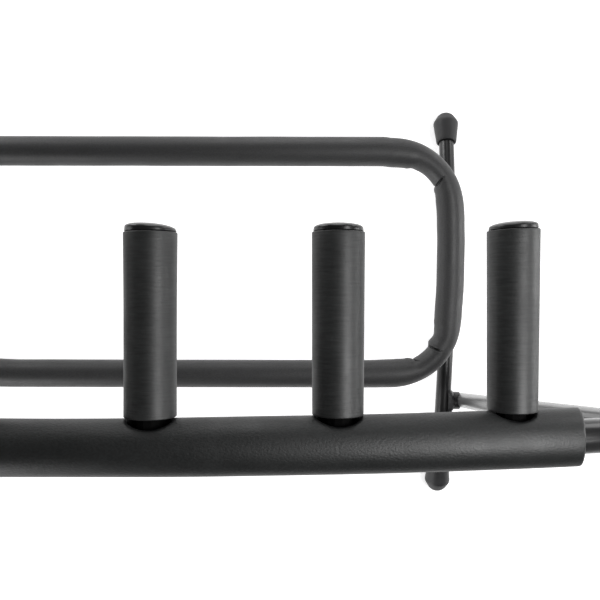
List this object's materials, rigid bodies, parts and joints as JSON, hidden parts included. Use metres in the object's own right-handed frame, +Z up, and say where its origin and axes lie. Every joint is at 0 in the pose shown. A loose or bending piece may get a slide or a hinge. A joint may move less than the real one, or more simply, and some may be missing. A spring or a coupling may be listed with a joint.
{
  "type": "guitar stand",
  "caption": "Folding guitar rack with padded cradle loop on arched feet and a padded neck bar with pegs that folds forward",
  "frame": {"origin": "on the floor, at the middle of the box that bounds the stand at rest", "axes": "+X along the neck bar, to the right as seen from the front, +Y to the rear, +Z up; the pegs point to the front, -Y"},
  "size_m": [0.7288, 0.5216, 0.6553],
  "materials": {
    "gloss_black_paint": "gloss",
    "black_foam": "matte",
    "black_plastic": "satin",
    "black_rubber": "matte",
    "zinc_steel": "satin"
  },
  "bodies": {
    "base": {"cradle_foam": "black_foam", "cradle_joiner_front": "zinc_steel", "cradle_joiner_rear": "zinc_steel", "cradle_post_front_left": "gloss_black_paint", "cradle_post_front_right": "gloss_black_paint", "cradle_post_rear_left": "gloss_black_paint", "cradle_post_rear_right": "gloss_black_paint", "cradle_tube_left": "gloss_black_paint", "cradle_tube_right": "gloss_black_paint", "foot_cap_front_left": "black_rubber", "foot_cap_front_right": "black_rubber", "foot_cap_rear_left": "black_rubber", "foot_cap_rear_right": "black_rubber", "foot_saddle_left": "black_plastic", "foot_saddle_right": "black_plastic", "foot_tube_left": "gloss_black_paint", "foot_tube_right": "gloss_black_paint", "pivot_bolt_left": "zinc_steel", "pivot_bolt_right": "zinc_steel", "pivot_insert_left": "zinc_steel", "pivot_insert_right": "zinc_steel", "post_bolt_front_left": "zinc_steel", "post_bolt_front_right": "zinc_steel", "post_bolt_rear_left": "zinc_steel", "post_bolt_rear_right": "zinc_steel", "post_insert_front_left": "zinc_steel", "post_insert_front_right": "zinc_steel", "post_insert_rear_left": "zinc_steel", "post_insert_rear_right": "zinc_steel"},
    "neck_frame": {"leg_plug_left": "black_plastic", "leg_plug_right": "black_plastic", "leg_saddle_left": "black_plastic", "leg_saddle_right": "black_plastic", "neck_foam": "black_foam", "neck_frame_tube": "gloss_black_paint", "peg_cap_1": "black_plastic", "peg_cap_2": "black_plastic", "peg_cap_3": "black_plastic", "peg_cap_4": "black_plastic", "peg_cap_5": "black_plastic", "peg_cap_6": "black_plastic", "peg_foam_1": "black_foam", "peg_foam_2": "black_foam", "peg_foam_3": "black_foam", "peg_foam_4": "black_foam", "peg_foam_5": "black_foam", "peg_foam_6": "black_foam", "peg_tube_1": "gloss_black_paint", "peg_tube_2": "gloss_black_paint", "peg_tube_3": "gloss_black_paint", "peg_tube_4": "gloss_black_paint", "peg_tube_5": "gloss_black_paint", "peg_tube_6": "gloss_black_paint", "pivot_washer_left": "black_plastic", "pivot_washer_right": "black_plastic"}
  },
  "joints": [
    {"name": "neck_frame_fold", "type": "hinge", "parent": "base", "child": "neck_frame", "pos_m": [0, 0.1328, 0.04311], "axis": [1, 0, 0], "range_deg": [0, 76]}
  ]
}
